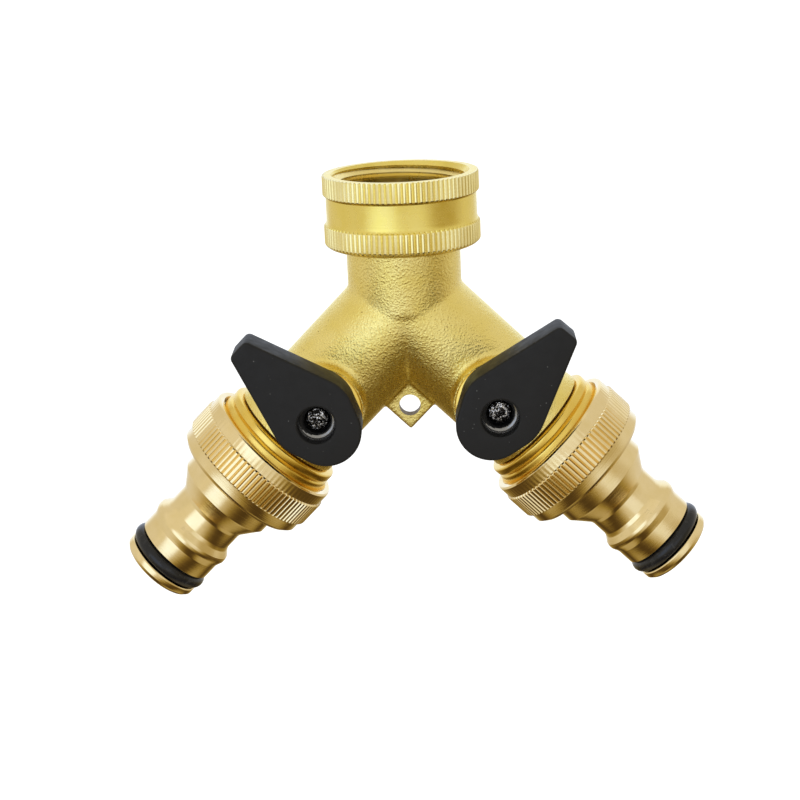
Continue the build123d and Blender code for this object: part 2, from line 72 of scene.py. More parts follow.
JOINT_AT = {joint["name"]: Vector(joint["pos_m"]) for joint in frame["joints"]}
MOUNT_AT = {mount["name"]: Vector(mount["pos_m"]) for mount in frame["record"]["mounts"]}
PIPE_WAY = {side: Vector(mount["axis"]) for side in SIDES for mount in frame["record"]["mounts"]
            if mount["name"] == f"{side}_outlet"}
PIVOT = {side: JOINT_AT[f"{side}_valve_turn"] for side in SIDES}
FRONT = Vector((0, -1, 0))
JUNCTION = PIVOT["right"] - PIPE_WAY["right"] * (PIVOT["right"].x / PIPE_WAY["right"].x)
PIVOT_S = (PIVOT["right"] - JUNCTION).length / MM
NUT_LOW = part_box("inlet_nut")[0].z / MM
NUT_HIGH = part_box("inlet_nut")[1].z / MM
NECK_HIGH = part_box("body_casting")[1].z / MM
JUNCTION_Z = JUNCTION.z / MM
LEVER_BACK = 16.0
LEVER_FACE = -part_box("right_lever")[0].y / MM
RING_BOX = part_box("left_adapter_o_ring")
RING_S = ((RING_BOX[0] + RING_BOX[1]) / 2 - JUNCTION).length / MM

# ---- sizes --------------------------------------------------------------------------------

NECK_R = 11.4
NECK_BORE_R = 8.0
BRANCH_R = 11.1
BRANCH_BORE_R = 6.0
FLARE_R = 11.75
BOSS_R = 8.9
BOSS_FACE = 15.6
CAVITY_R = 8.9
CAST_END_S = 36.1
COLLAR_S = 36.42            # the undercut's faces are nearer the junction than this
LUG_SIDE = 7.35
LUG_DROP = 20.7
LUG_THICK = 2.8
LUG_HOLE_R = 2.2
LEVER_LEAN = {"left": 0.0, "right": 2.5}     # degrees each closed lever stands off square
STEM_BORE_R = 3.0
SCREW_SEAT = 18.6
SCREW_TOP = 20.3
OVERSIZE = 0.1              # cast skin that smoothing takes away again
SPARE = 3.0                 # stock past a face that is still to be machined
TEETH = 90
PER_TOOTH = 4
SIDES_OF_KNURL = TEETH * PER_TOOTH
HOSE_PITCH = 2.209


def lever_way(side):
    """Direction from the pivot to the tip of a closed lever."""
    way = PIPE_WAY[side]
    return Vector((way.x, 0, -way.z))


def pipe_frame(side):
    """Bench +Z runs along the branch from the junction, bench +X towards the lever's tip."""
    z = PIPE_WAY[side]
    x = lever_way(side)
    return Matrix.Translation(JUNCTION) @ Matrix((x, z.cross(x), z)).transposed().to_4x4()


def valve_frame(side):
    """Bench +Z points out to the front from the pivot, bench +X towards the lever's tip."""
    x = Matrix.Rotation(math.radians(LEVER_LEAN[side]), 3, FRONT) @ lever_way(side)
    turn = Matrix((x, FRONT.cross(x), FRONT)).transposed().to_4x4()
    return Matrix.Translation(PIVOT[side]) @ turn


# ---- bench tools --------------------------------------------------------------------------

def only(piece):
    """Makes a piece the one that is selected."""
    bpy.ops.object.select_all(action="DESELECT")
    piece.select_set(True)
    bpy.context.view_layer.objects.active = piece
    return piece


def fresh(name):
    """Names the primitive that was just added and puts its place into its mesh."""
    piece = bpy.context.object
    piece.name = name
    piece.data.name = name
    bpy.ops.object.transform_apply(location=True, rotation=True, scale=True)
    return piece


def edit(piece, everything=True):
    only(piece)
    bpy.ops.object.mode_set(mode="EDIT")
    bpy.ops.mesh.select_mode(type="VERT")
    bpy.ops.mesh.select_all(action="SELECT" if everything else "DESELECT")


def leave():
    bpy.ops.object.mode_set(mode="OBJECT")


def pick(piece, test):
    """Selects the vertices whose place passes a test; the piece is in edit mode."""
    mesh = bmesh.from_edit_mesh(piece.data)
    for vertex in mesh.verts:
        vertex.select_set(test(vertex.co))
    mesh.select_flush_mode()
    bmesh.update_edit_mesh(piece.data)


def outwards(piece):
    """Merges doubles and points every face outwards."""
    edit(piece)
    bpy.ops.mesh.remove_doubles(threshold=1e-6)
    bpy.ops.mesh.normals_make_consistent(inside=False)
    leave()
    return piece


def turned(name, profile, sides=144, ring=True):
    """A piece off the lathe. The profile is a list of (radius, height); a ring's profile closes
    on itself, and otherwise both ends are capped."""
    radius, height = profile[0]
    bpy.ops.object.select_all(action="DESELECT")
    bpy.ops.mesh.primitive_circle_add(vertices=sides, radius=radius * MM, fill_type="NOTHING",
                                      location=(0, 0, height * MM))
    piece = fresh(name)
    edit(piece)
    for next_radius, next_height in (profile[1:] + profile[:1] if ring else profile[1:]):
        rise = (0, 0, (next_height - height) * MM)
        bpy.ops.mesh.extrude_region_move(TRANSFORM_OT_translate={"value": rise})
        spread = next_radius / radius
        bpy.ops.transform.resize(value=(spread, spread, 1), center_override=(0, 0, 0))
        radius, height = next_radius, next_height
    bpy.ops.mesh.select_all(action="SELECT")
    if not ring:
        bpy.ops.mesh.fill_holes(sides=0)
    leave()
    return outwards(piece)


def finish_with(piece, kind, **settings):
    """Adds a modifier and applies it."""
    only(piece)
    modifier = piece.modifiers.new(kind.title(), kind)
    for key, value in settings.items():
        setattr(modifier, key, value)
    bpy.ops.object.modifier_apply(modifier=modifier.name)
    return piece


def round_edges(piece, width, segments=2, angle=25):
    return finish_with(piece, "BEVEL", width=width * MM, segments=segments, limit_method="ANGLE",
                       angle_limit=math.radians(angle), use_clamp_overlap=True)


def cut(piece, tool, operation="DIFFERENCE"):
    """Cuts with a tool, which is used up."""
    finish_with(piece, "BOOLEAN", operation=operation, object=tool, solver="EXACT",
                use_self=operation == "DIFFERENCE" and len(tool.data.polygons) > 2000)
    bpy.data.objects.remove(tool)
    return piece


def joined(name, pieces):
    """Several pieces as one mesh."""
    only(pieces[0])
    for piece in pieces:
        piece.select_set(True)
    bpy.ops.object.join()
    pieces[0].name = name
    return pieces[0]


def put(piece, place):
    """Sets a bench piece in place, with the place in its mesh."""
    piece.matrix_world = place
    only(piece)
    bpy.ops.object.transform_apply(location=True, rotation=True, scale=True)
    return piece


def pair(name, piece, place_of):
    """Copies a bench piece, mesh and all, and puts one on each side."""
    twin = piece.copy()
    twin.data = piece.data.copy()
    bpy.context.scene.collection.objects.link(twin)
    for side, part in (("left", piece), ("right", twin)):
        part.name = part.data.name = f"{side}_{name}"
        put(part, place_of(side))
    return {"left": piece, "right": twin}


def smooth(piece, angle=32):
    only(piece)
    bpy.ops.object.shade_smooth_by_angle(angle=math.radians(angle))
    return piece


def rod(name, radius, low, high, sides=96, place=None):
    """Plain cylinder used as raw stock or as a drill."""
    bpy.ops.object.select_all(action="DESELECT")
    bpy.ops.mesh.primitive_cylinder_add(vertices=sides, radius=radius * MM,
                                        depth=(high - low) * MM,
                                        location=(0, 0, (low + high) / 2 * MM))
    piece = fresh(name)
    return put(piece, place) if place else piece


def dress(piece, *materials):
    piece.data.materials.clear()
    for material in materials:
        piece.data.materials.append(material)
    return piece


def thread_tool(name, root_r, crest_r, low, turns, pitch):
    """Coil of V section that cuts a thread: its point is at root_r and its open side at crest_r."""
    half = pitch * 0.42
    beyond = (crest_r - root_r) * 0.35
    bpy.ops.object.select_all(action="DESELECT")
    bpy.ops.mesh.primitive_circle_add(vertices=4, radius=MM, fill_type="NOTHING",
                                      rotation=(math.pi / 2, 0, 0))
    coil = fresh(name)
    flat = pitch * 0.06
    corners = ((root_r, flat), (crest_r + beyond, half * 1.35), (crest_r + beyond, -half * 1.35),
               (root_r, -flat))
    for vertex, (radius, rise) in zip(coil.data.vertices, corners):
        vertex.co = (radius * MM, 0, (low + rise) * MM)
    finish_with(coil, "SCREW", axis="Z", screw_offset=pitch * MM, iterations=turns, steps=72,
                render_steps=72, use_smooth_shade=False)
    edit(coil)
    bpy.ops.mesh.fill_holes(sides=0)
    leave()
    return outwards(coil)


def knurl(piece, low, high, crest_r, depth, flank=0.0):
    """Presses straight grooves into a turned band. The groove's bottom is the first of each four
    lines of vertices, the crest is the third, and the two between go in by the flank's share of
    the depth. Stock that is already narrower than the groove stays, so grooves run out."""
    def line_of(place):
        return round(math.atan2(place.y, place.x) / (2 * math.pi) * SIDES_OF_KNURL) % PER_TOOTH

    def ring_of(place):
        return round(place.z / MM, 2), round(math.hypot(place.x, place.y) / MM, 2)

    reach = {1: depth, 2: depth * flank, 4: depth * flank}
    rings = {ring_of(vertex.co) for vertex in piece.data.vertices}
    edit(piece, everything=False)
    for line, depth_here in reach.items():
        groove_r = crest_r - depth_here
        for height, radius in sorted(rings):
            if low <= height <= high and groove_r < radius <= crest_r + 0.01:
                pick(piece, lambda place: line_of(place) == line - 1
                     and ring_of(place) == (height, radius))
                share = groove_r / radius
                bpy.ops.transform.resize(value=(share, share, 1), center_override=(0, 0, 0))
    leave()
    return piece


# ---- materials ----------------------------------------------------------------------------

class Finish:
    """A procedural material and the nodes that build it."""

    def __init__(self, name, colour, metallic, roughness, **inputs):
        self.material = bpy.data.materials.new(name)
        self.material.use_nodes = True
        self.tree = self.material.node_tree
        self.shader = self.tree.nodes["Principled BSDF"]
        self.shader.inputs["Base Color"].default_value = (*colour, 1)
        self.shader.inputs["Metallic"].default_value = metallic
        self.shader.inputs["Roughness"].default_value = roughness
        for key, value in inputs.items():
            self.shader.inputs[key.replace("_", " ")].default_value = value
        self.place = self.node("ShaderNodeTexCoord").outputs["Object"]

    def node(self, kind, **settings):
        made = self.tree.nodes.new(kind)
        for key, value in settings.items():
            setattr(made, key, value)
        return made

    def link(self, source, target):
        self.tree.links.new(source, target)

    def turned_to(self, angle):
        """Turns the pattern about Y, so that its Z runs along a leaning pipe."""
        mapping = self.node("ShaderNodeMapping", vector_type="TEXTURE")
        mapping.inputs["Location"].default_value = JUNCTION
        mapping.inputs["Rotation"].default_value = (0, angle, 0)
        self.link(self.place, mapping.inputs["Vector"])
        self.place = mapping.outputs["Vector"]

    def stretched(self, scale):
        mapping = self.node("ShaderNodeMapping")
        mapping.inputs["Scale"].default_value = scale
        self.link(self.place, mapping.inputs["Vector"])
        return mapping.outputs["Vector"]

    def noise(self, size, detail=2.0, roughness=0.5, place=None, distortion=0.0):
        """Noise with features of about this size in millimetres."""
        made = self.node("ShaderNodeTexNoise")
        made.inputs["Scale"].default_value = 1 / (size * MM)
        made.inputs["Detail"].default_value = detail
        made.inputs["Roughness"].default_value = roughness
        made.inputs["Distortion"].default_value = distortion
        self.link(place or self.place, made.inputs["Vector"])
        return made.outputs["Fac"]

    def spread(self, value, low, high, to_low=0.0, to_high=1.0):
        made = self.node("ShaderNodeMapRange")
        for key, number in zip(("From Min", "From Max", "To Min", "To Max"),
                               (low, high, to_low, to_high)):
            made.inputs[key].default_value = number
        self.link(value, made.inputs["Value"])
        return made.outputs["Result"]

    def tint(self, share, first, second):
        """Base colour that goes from first to second."""
        mix = self.node("ShaderNodeMix", data_type="RGBA")
        mix.inputs["A"].default_value = (*first, 1)
        mix.inputs["B"].default_value = (*second, 1)
        self.link(share, mix.inputs["Factor"])
        self.link(mix.outputs["Result"], self.shader.inputs["Base Color"])
        return mix

    def bump(self, height, strength, depth, after=None):
        """Bump of a depth in millimetres, on top of an earlier one."""
        made = self.node("ShaderNodeBump")
        made.inputs["Strength"].default_value = strength
        made.inputs["Distance"].default_value = depth * MM
        self.link(height, made.inputs["Height"])
        if after:
            self.link(after, made.inputs["Normal"])
        return made.outputs["Normal"]

    def set(self, socket, value):
        self.link(value, self.shader.inputs[socket])


def cast_brass():
    """Bead-blasted sand casting: fine sparkling grain, slow changes of tone and a few dark pits."""
    finish = Finish("cast_brass", (0.94, 0.8, 0.3), 1.0, 0.38)
    tone = finish.noise(5.0, 3.0)
    mix = finish.tint(finish.spread(tone, 0.3, 0.7), (0.92, 0.745, 0.22), (0.97, 0.81, 0.3))
    grain = finish.noise(0.42, 2.0, 0.55)
    pits = finish.node("ShaderNodeMath", operation="MULTIPLY")
    finish.link(finish.spread(finish.noise(0.6, 1.0), 0.7, 0.77), pits.inputs[0])
    finish.link(finish.spread(finish.noise(6.0, 1.0), 0.5, 0.6), pits.inputs[1])
    dark = finish.node("ShaderNodeMix", data_type="RGBA")
    dark.inputs["B"].default_value = (0.3, 0.2, 0.06, 1)
    finish.link(pits.outputs["Value"], dark.inputs["Factor"])
    finish.link(mix.outputs["Result"], dark.inputs["A"])
    finish.set("Base Color", dark.outputs["Result"])
    finish.set("Roughness", finish.spread(grain, 0.3, 0.7, 0.36, 0.22))
    waves = finish.bump(finish.noise(1.6, 2.0), 0.3, 0.08)
    finish.set("Normal", finish.bump(grain, 1.0, 0.17, waves))
    return finish.material


def painted_shade_brass():
    """Painted shade: dull dark brown brass on the wall of a drilled hole and in an undercut, where shade falls."""
    finish = Finish("painted_shade_brass", (0.16, 0.1, 0.03), 1.0, 0.5)
    finish.set("Roughness", finish.spread(finish.noise(0.6), 0.3, 0.7, 0.4, 0.6))
    return finish.material


def turned_brass(name, first, second, roughness, angle=None, lines=0.035):
    """Brass off the lathe, with fine rings across the axis and faint handling marks."""
    finish = Finish(name, first, 1.0, roughness)
    if angle is not None:
        finish.turned_to(angle)
    rings = finish.noise(1.0, 3.0, 0.7, finish.stretched((0.02, 0.02, 9.0)))
    smears = finish.noise(3.5, 3.0, 0.55)
    finish.tint(finish.spread(smears, 0.3, 0.72), first, second)
    finish.set("Roughness", finish.spread(smears, 0.3, 0.7, roughness * 0.8, roughness * 1.25))
    first_bump = finish.bump(rings, 0.5, lines)
    finish.set("Normal", finish.bump(finish.noise(0.5, 2.0), 0.1, 0.02, first_bump))
    return finish.material


def lever_plastic():
    """Near-black moulded plastic with a fine satin skin and a few pale specks of dust."""
    finish = Finish("lever_plastic", (0.009, 0.009, 0.0095), 0.0, 0.5, Specular_IOR_Level=0.28)
    dust = finish.noise(0.5, 1.0)
    patches = finish.noise(4.0, 1.0)
    specks = finish.node("ShaderNodeMath", operation="MULTIPLY")
    finish.link(finish.spread(dust, 0.74, 0.8), specks.inputs[0])
    finish.link(finish.spread(patches, 0.5, 0.6), specks.inputs[1])
    finish.tint(specks.outputs["Value"], (0.009, 0.009, 0.0095), (0.16, 0.16, 0.15))
    skin = finish.noise(0.18, 2.0)
    finish.set("Roughness", finish.spread(finish.noise(2.0, 3.0), 0.3, 0.7, 0.46, 0.6))
    finish.set("Normal", finish.bump(skin, 0.25, 0.02))
    return finish.material


def painted_highlight_plastic():
    """Painted highlight: lever plastic made lighter and far more reflective, laid only where the pocket's step
    faces the light, so a bright crescent shows.
    """
    finish = Finish("painted_highlight_plastic", (0.05, 0.05, 0.05), 0.0, 0.15, IOR=3.2)
    scratches = finish.noise(0.5, 3.0, 0.6)
    finish.set("Roughness", finish.spread(scratches, 0.3, 0.7, 0.08, 0.3))
    finish.set("Normal", finish.bump(scratches, 0.5, 0.08))
    return finish.material


def seal_rubber():
    """Black O-ring rubber, lightly greased and scuffed."""
    finish = Finish("seal_rubber", (0.012, 0.012, 0.012), 0.0, 0.22, Specular_IOR_Level=0.35)
    scuffs = finish.noise(0.9, 3.0)
    finish.tint(finish.spread(scuffs, 0.55, 0.8), (0.01, 0.01, 0.011), (0.035, 0.034, 0.033))
    finish.set("Roughness", finish.spread(scuffs, 0.3, 0.75, 0.14, 0.34))
    finish.set("Normal", finish.bump(finish.noise(0.3, 2.0), 0.2, 0.02))
    return finish.material


def screw_steel():
    """Dark plated steel, pitted enough to glitter."""
    finish = Finish("screw_steel", (0.25, 0.24, 0.23), 1.0, 0.3)
    pits = finish.noise(0.55, 2.0, 0.6)
    finish.tint(finish.spread(pits, 0.46, 0.62), (0.02, 0.018, 0.016), (0.95, 0.92, 0.88))
    finish.set("Roughness", finish.spread(pits, 0.3, 0.7, 0.4, 0.12))
    finish.set("Normal", finish.bump(pits, 1.0, 0.35))
    return finish.material


def washer_rubber():
    """Dull, mottled black rubber."""
    finish = Finish("washer_rubber", (0.03, 0.03, 0.03), 0.0, 0.7)
    mottle = finish.noise(0.8, 3.0)
    finish.tint(finish.spread(mottle, 0.3, 0.7), (0.022, 0.022, 0.022), (0.045, 0.045, 0.044))
    finish.set("Normal", finish.bump(mottle, 0.3, 0.05))
    return finish.material


def seat_ptfe():
    """Milky white plastic of the ball seats and thrust washers."""
    finish = Finish("seat_ptfe", (0.86, 0.86, 0.83), 0.0, 0.45)
    mottle = finish.noise(1.5, 2.0)
    finish.tint(finish.spread(mottle, 0.3, 0.7), (0.82, 0.82, 0.79), (0.9, 0.9, 0.88))
    return finish.material


def ball_plating():
    """Bright plating with faint smears."""
    finish = Finish("ball_plating", (0.78, 0.78, 0.79), 1.0, 0.1)
    smears = finish.noise(2.0, 3.0)
    finish.set("Roughness", finish.spread(smears, 0.3, 0.7, 0.06, 0.16))
    return finish.material


NUT_TONES = ((0.88, 0.7, 0.165), (0.94, 0.77, 0.23))
KNURL_TONES = ((0.93, 0.8, 0.36), (0.97, 0.86, 0.44))
BORE_TONES = ((0.93, 0.76, 0.28), (0.97, 0.82, 0.36))
CONNECTOR_TONES = ((0.89, 0.71, 0.36), (0.94, 0.77, 0.44))
ORANGE_TONES = ((0.86, 0.6, 0.12), (0.92, 0.68, 0.18))
LEAN = {side: math.atan2(PIPE_WAY[side].x, PIPE_WAY[side].z) for side in SIDES}

CAST = cast_brass()
# painted shade brass for the lug hole's wall and the spigots' undercuts
PAINTED_SHADE_BRASS = painted_shade_brass()
NUT_BRASS = turned_brass("nut_brass", *NUT_TONES, 0.26)
KNURL_BRASS = turned_brass("knurl_brass", *KNURL_TONES, 0.22)
BORE_BRASS = turned_brass("bore_brass", *BORE_TONES, 0.28)
CONNECTOR_BRASS = {side: turned_brass(f"connector_brass_{side}", *CONNECTOR_TONES, 0.08, LEAN[side])
                   for side in SIDES}
SPIGOT_BRASS = {side: turned_brass(f"spigot_brass_{side}", *ORANGE_TONES, 0.2, LEAN[side])
                for side in SIDES}
PLASTIC = lever_plastic()
# painted highlight plastic for the lit crescent on each lever pocket's step
PAINTED_HIGHLIGHT_PLASTIC = painted_highlight_plastic()
SEAL = seal_rubber()
SCREW_STEEL = screw_steel()
WASHER = washer_rubber()
SEAT = seat_ptfe()
PLATING = ball_plating()

# ---- the casting --------------------------------------------------------------------------

def casting():
    """Neck, branches and bosses melt together in a coarse skin; the lug joins in a finer one.
    Then the machined ends are cut clean and the water ways are drilled."""
    stock = [rod("casting", NECK_R + OVERSIZE, JUNCTION_Z, NECK_HIGH + SPARE)]
    for side in SIDES:
        place = pipe_frame(side)
        branch = turned("branch", [(BRANCH_R + OVERSIZE, 0),
                                   (BRANCH_R + OVERSIZE, PIVOT_S + BOSS_R - 2),
                                   (FLARE_R + OVERSIZE, CAST_END_S - 1.5),
                                   (FLARE_R + OVERSIZE, CAST_END_S + SPARE)], 96, ring=False)
        stock.append(put(branch, place))
        stock.append(rod("boss", BOSS_R + OVERSIZE, 0, BOSS_FACE + SPARE, 72, valve_frame(side)))
    bpy.ops.object.select_all(action="DESELECT")
    bpy.ops.mesh.primitive_uv_sphere_add(segments=64, ring_count=32, radius=BRANCH_R * MM,
                                         location=JUNCTION)
    stock.append(fresh("hip"))
    skin = joined("casting", stock)
    finish_with(skin, "REMESH", mode="VOXEL", voxel_size=0.5 * MM)
    finish_with(skin, "SMOOTH", factor=0.5, iterations=1)

    lug_at = MOUNT_AT["lug_hole"]
    bpy.ops.object.select_all(action="DESELECT")
    bpy.ops.mesh.primitive_cube_add(size=MM, rotation=(0, math.pi / 4, 0),
                                    location=(0, lug_at.y, JUNCTION.z - LUG_DROP * MM))
    bpy.context.object.scale = (LUG_SIDE + OVERSIZE, LUG_THICK + OVERSIZE, LUG_SIDE + OVERSIZE)
    lug = fresh("lug")
    round_edges(lug, 0.35, 3)
    skin = joined("casting", [skin, lug])
    finish_with(skin, "REMESH", mode="VOXEL", voxel_size=0.36 * MM)
    finish_with(skin, "SMOOTH", factor=0.5, iterations=2)

    # machined faces: top of the neck, tops of the bosses and ends of the branches
    faces = [((0, 0, NECK_HIGH * MM), (0, 0, 1)), ((0, -(BOSS_FACE - 0.6) * MM, 0), (0, -1, 0))]
    faces += [(JUNCTION + PIPE_WAY[side] * CAST_END_S * MM, PIPE_WAY[side]) for side in SIDES]
    for point, way in faces:
        edit(skin)
        bpy.ops.mesh.bisect(plane_co=point, plane_no=way, use_fill=True, clear_outer=True)
        leave()

    # water ways, valve chambers and the lug's hole
    drills = [rod("drill", NECK_BORE_R, JUNCTION_Z - 2, NECK_HIGH + SPARE)]
    shoulder = PIVOT_S - 8.2
    for side in SIDES:
        way = turned("drill", [(BRANCH_BORE_R, 1), (BRANCH_BORE_R, shoulder),
                               (CAVITY_R, shoulder), (CAVITY_R, CAST_END_S + SPARE)],
                     72, ring=False)
        drills.append(put(way, pipe_frame(side)))
        drills.append(rod("drill", STEM_BORE_R, 7, BOSS_FACE + SPARE, 48, valve_frame(side)))
    for drill in drills:
        cut(skin, drill)
    across = Matrix.Translation(lug_at) @ Matrix.Rotation(math.pi / 2, 4, "X")
    cut(skin, rod("drill", LUG_HOLE_R, -5, 5, 64, across))
    # painted shade: the lug hole's wall gets the dark brown brass
    dress(skin, CAST, PAINTED_SHADE_BRASS)
    for face in skin.data.polygons:
        off = face.center - lug_at
        if math.hypot(off.x, off.z) < (LUG_HOLE_R + 0.01) * MM and abs(off.y) < LUG_THICK * MM:
            face.material_index = 1
    return smooth(skin, 40)


def boss_face():
    """Turned land on top of a boss, with a shallow recess around the stem."""
    inner_r = STEM_BORE_R + 0.02
    outer_r = BOSS_R - 0.1
    land = turned("boss_face", [
        (inner_r, BOSS_FACE - 3), (outer_r, BOSS_FACE - 3), (outer_r, BOSS_FACE - 0.5),
        (BOSS_R - 0.25, BOSS_FACE - 0.15), (BOSS_R - 0.6, BOSS_FACE), (4.6, BOSS_FACE),
        (4.4, BOSS_FACE - 0.3), (3.4, BOSS_FACE - 0.3), (inner_r, BOSS_FACE - 0.6)], 120)
    return round_edges(land, 0.08)


def spigot():
    """Machined end of a branch: undercut, collar and the male hose thread."""
    crest = 13.3
    root = 12.0
    thread_s = 41.4
    end = 47.6
    piece = turned("spigot", [
        (9.7, 33.6), (11.2, 33.6), (11.2, 36.4), (12.7, 36.45), (13.05, 36.6), (13.15, 36.9),
        (13.15, 38.0), (12.95, 38.25), (12.7, 38.4), (12.95, 38.55), (13.2, 38.75),
        (crest, 39.1), (crest, end - 0.9), (crest - 1.2, end), (9.7, end)], 144)
    round_edges(piece, 0.12)
    return cut(piece, thread_tool("die", root, crest, thread_s, 3, HOSE_PITCH))


# ---- the swivel nut -----------------------------------------------------------------------

def swivel_nut():
    """Two knurled bands with a plain waist between them, and the female hose thread inside."""
    tooth_r = 15.72
    waist_r = 15.15
    upper = NUT_HIGH - 4.0
    lower = NUT_LOW + 5.0
    thread_r = 12.5
    thread_root_r = 13.65
    relief_r = 12.85
    journal_r = 11.5
    floor = NUT_LOW + 3.1
    under = [(journal_r, NUT_LOW), (13.0, NUT_LOW), (13.8, NUT_LOW + 0.15), (14.5, NUT_LOW + 0.4),
             (14.85, NUT_LOW + 0.55), (15.1, NUT_LOW + 0.7), (15.5, NUT_LOW + 1.05),
             (tooth_r, NUT_LOW + 1.35)]
    cove = [(tooth_r, lower - 0.15), (tooth_r - 0.1, lower), (waist_r + 0.22, lower + 0.3),
            (waist_r + 0.07, lower + 0.65), (waist_r, lower + 1.2)]
    mouth = [(waist_r, upper - 0.45), (waist_r + 0.2, upper - 0.2), (tooth_r - 0.12, upper),
             (tooth_r, upper + 0.15), (tooth_r, NUT_HIGH - 0.3), (tooth_r - 0.12, NUT_HIGH - 0.06),
             (tooth_r - 0.4, NUT_HIGH), (13.9, NUT_HIGH), (13.25, NUT_HIGH - 1.0),
             (thread_r, NUT_HIGH - 1.7)]
    inside = [(thread_r, 0), (relief_r, -0.4), (relief_r, floor), (journal_r, floor)]
    nut = turned("nut", under + cove + mouth + inside, SIDES_OF_KNURL)
    knurl(nut, upper - 0.05, NUT_HIGH - 0.01, tooth_r, 0.46, 0.25)
    knurl(nut, NUT_LOW + 0.3, lower + 0.05, tooth_r, 0.5, 0.25)
    cut(nut, thread_tool("tap", thread_root_r, thread_r, -0.6, 5, HOSE_PITCH))
    dress(nut, NUT_BRASS, BORE_BRASS, KNURL_BRASS)
    for face in nut.data.polygons:
        reach = math.hypot(face.center.x, face.center.y) / MM
        height = face.center.z / MM
        if reach < thread_root_r - 0.45:
            face.material_index = 1
        elif reach > waist_r - 0.2 and not lower < height < upper:
            face.material_index = 2
    return smooth(nut, 24)


# ---- click connectors ---------------------------------------------------------------------

def connector():
    """Sleeve with a knurled band, a stepped neck and a grooved nose."""
    rim_r = 15.2
    flange_r = 14.95
    tooth_r = 15.58
    knurl_low = 42.7
    knurl_high = 48.4
    bore_r = 4.75
    piece = turned("connector", [
        (13.45, 41.3), (13.9, 40.0), (rim_r - 0.35, 39.9), (rim_r, 40.25), (rim_r, knurl_low),
        (tooth_r - 0.3, knurl_low), (tooth_r, knurl_low + 0.3), (tooth_r, knurl_high - 0.3),
        (tooth_r - 0.3, knurl_high), (flange_r, knurl_high), (flange_r, 50.5),
        (flange_r - 0.8, 51.3), (10.95, 51.3), (10.55, 51.7), (10.55, 55.5), (10.25, 55.9),
        (7.95, 59.1), (7.65, 59.9), (7.65, 63.3), (7.95, 64.1), (8.9, 65.3), (9.05, 65.9),
        (9.05, 66.5), (8.7, 67.4), (8.5, 68.1), (8.5, 71.5), (8.35, 71.65), (6.0, 71.65),
        (6.0, 75.05), (8.3, 75.05), (8.5, 75.3), (8.5, 76.4), (7.95, 77.05), (7.3, 77.4),
        (bore_r + 0.5, 77.4), (bore_r, 76.9), (bore_r, 55.85), (6.5, 50.9), (6.5, 50.1),
        (13.2, 50.1), (13.2, 41.3)], SIDES_OF_KNURL)
    round_edges(piece, 0.1, 2, 12)
    return knurl(piece, knurl_low - 0.05, knurl_high + 0.05, tooth_r, 0.46, 0.1)


def nose_ring():
    """O-ring in the groove of the connector's nose."""
    bpy.ops.object.select_all(action="DESELECT")
    bpy.ops.mesh.primitive_torus_add(major_radius=7.5 * MM, minor_radius=1.5 * MM,
                                     major_segments=120, minor_segments=32,
                                     location=(0, 0, RING_S * MM))
    return fresh("nose_ring")


# ---- levers and their screws --------------------------------------------------------------

HIGHLIGHT_CLEAR_AT = (-0.31, 0.37)    # the pocket's step carries the painted highlight outside this circle
HIGHLIGHT_CLEAR_R = 3.28


def lever(side):
    """Hull of a large round end and a narrow tip, with rounded edges and a stepped pocket."""
    hand = -SIDES[side]
    deep = (LEVER_FACE - LEVER_BACK) * MM
    middle = (LEVER_FACE + LEVER_BACK) / 2 * MM
    stock = []
    for radius, along, across in ((7.0, -2.3, -0.2), (8.3, 1.5, -0.5), (1.2, 20.1, -2.25),
                                  (1.2, 20.1, 0.55)):
        bpy.ops.object.select_all(action="DESELECT")
        bpy.ops.mesh.primitive_cylinder_add(vertices=96, radius=radius * MM, depth=deep,
                                            location=(along * MM, hand * across * MM, middle))
        stock.append(fresh("stock"))
    handle = joined(f"{side}_handle", stock)
    edit(handle)
    bpy.ops.mesh.convex_hull()
    bpy.ops.mesh.dissolve_limited(angle_limit=math.radians(0.5))
    leave()
    outwards(handle)
    round_edges(handle, 0.6, 4, 40)
    hub = rod("hub", 4.4, 15.75, LEVER_BACK + 1, 64)
    cut(handle, hub, "UNION")
    pocket = turned("pocket", [
        (2.7, SCREW_SEAT), (2.7, 20.9), (2.8, 21.1), (2.95, 21.22), (3.1, 21.3), (3.25, 21.37),
        (3.4, 21.45), (3.52, 21.58), (3.6, 21.75), (3.66, 21.95), (3.7, 22.25), (3.72, 24.2),
        (3.82, 24.45), (4.05, LEVER_FACE), (4.05, LEVER_FACE + 1)], 96, ring=False)
    cut(handle, pocket)
    dress(handle, PLASTIC, PAINTED_HIGHLIGHT_PLASTIC)
    put(handle, valve_frame(side))
    # painted highlight: step faces outside the clear circle get the lighter, glossier plastic, a bright crescent
    # where the light falls
    for face in handle.data.polygons:
        off = (face.center - PIVOT[side]) / MM
        on_step = math.hypot(off.x, off.z) < 3.69 and 20.95 < -off.y < 22.3
        if on_step and math.hypot(off.x - HIGHLIGHT_CLEAR_AT[0], off.z - HIGHLIGHT_CLEAR_AT[1]) > HIGHLIGHT_CLEAR_R:
            face.material_index = 1
    return smooth(handle, 30)


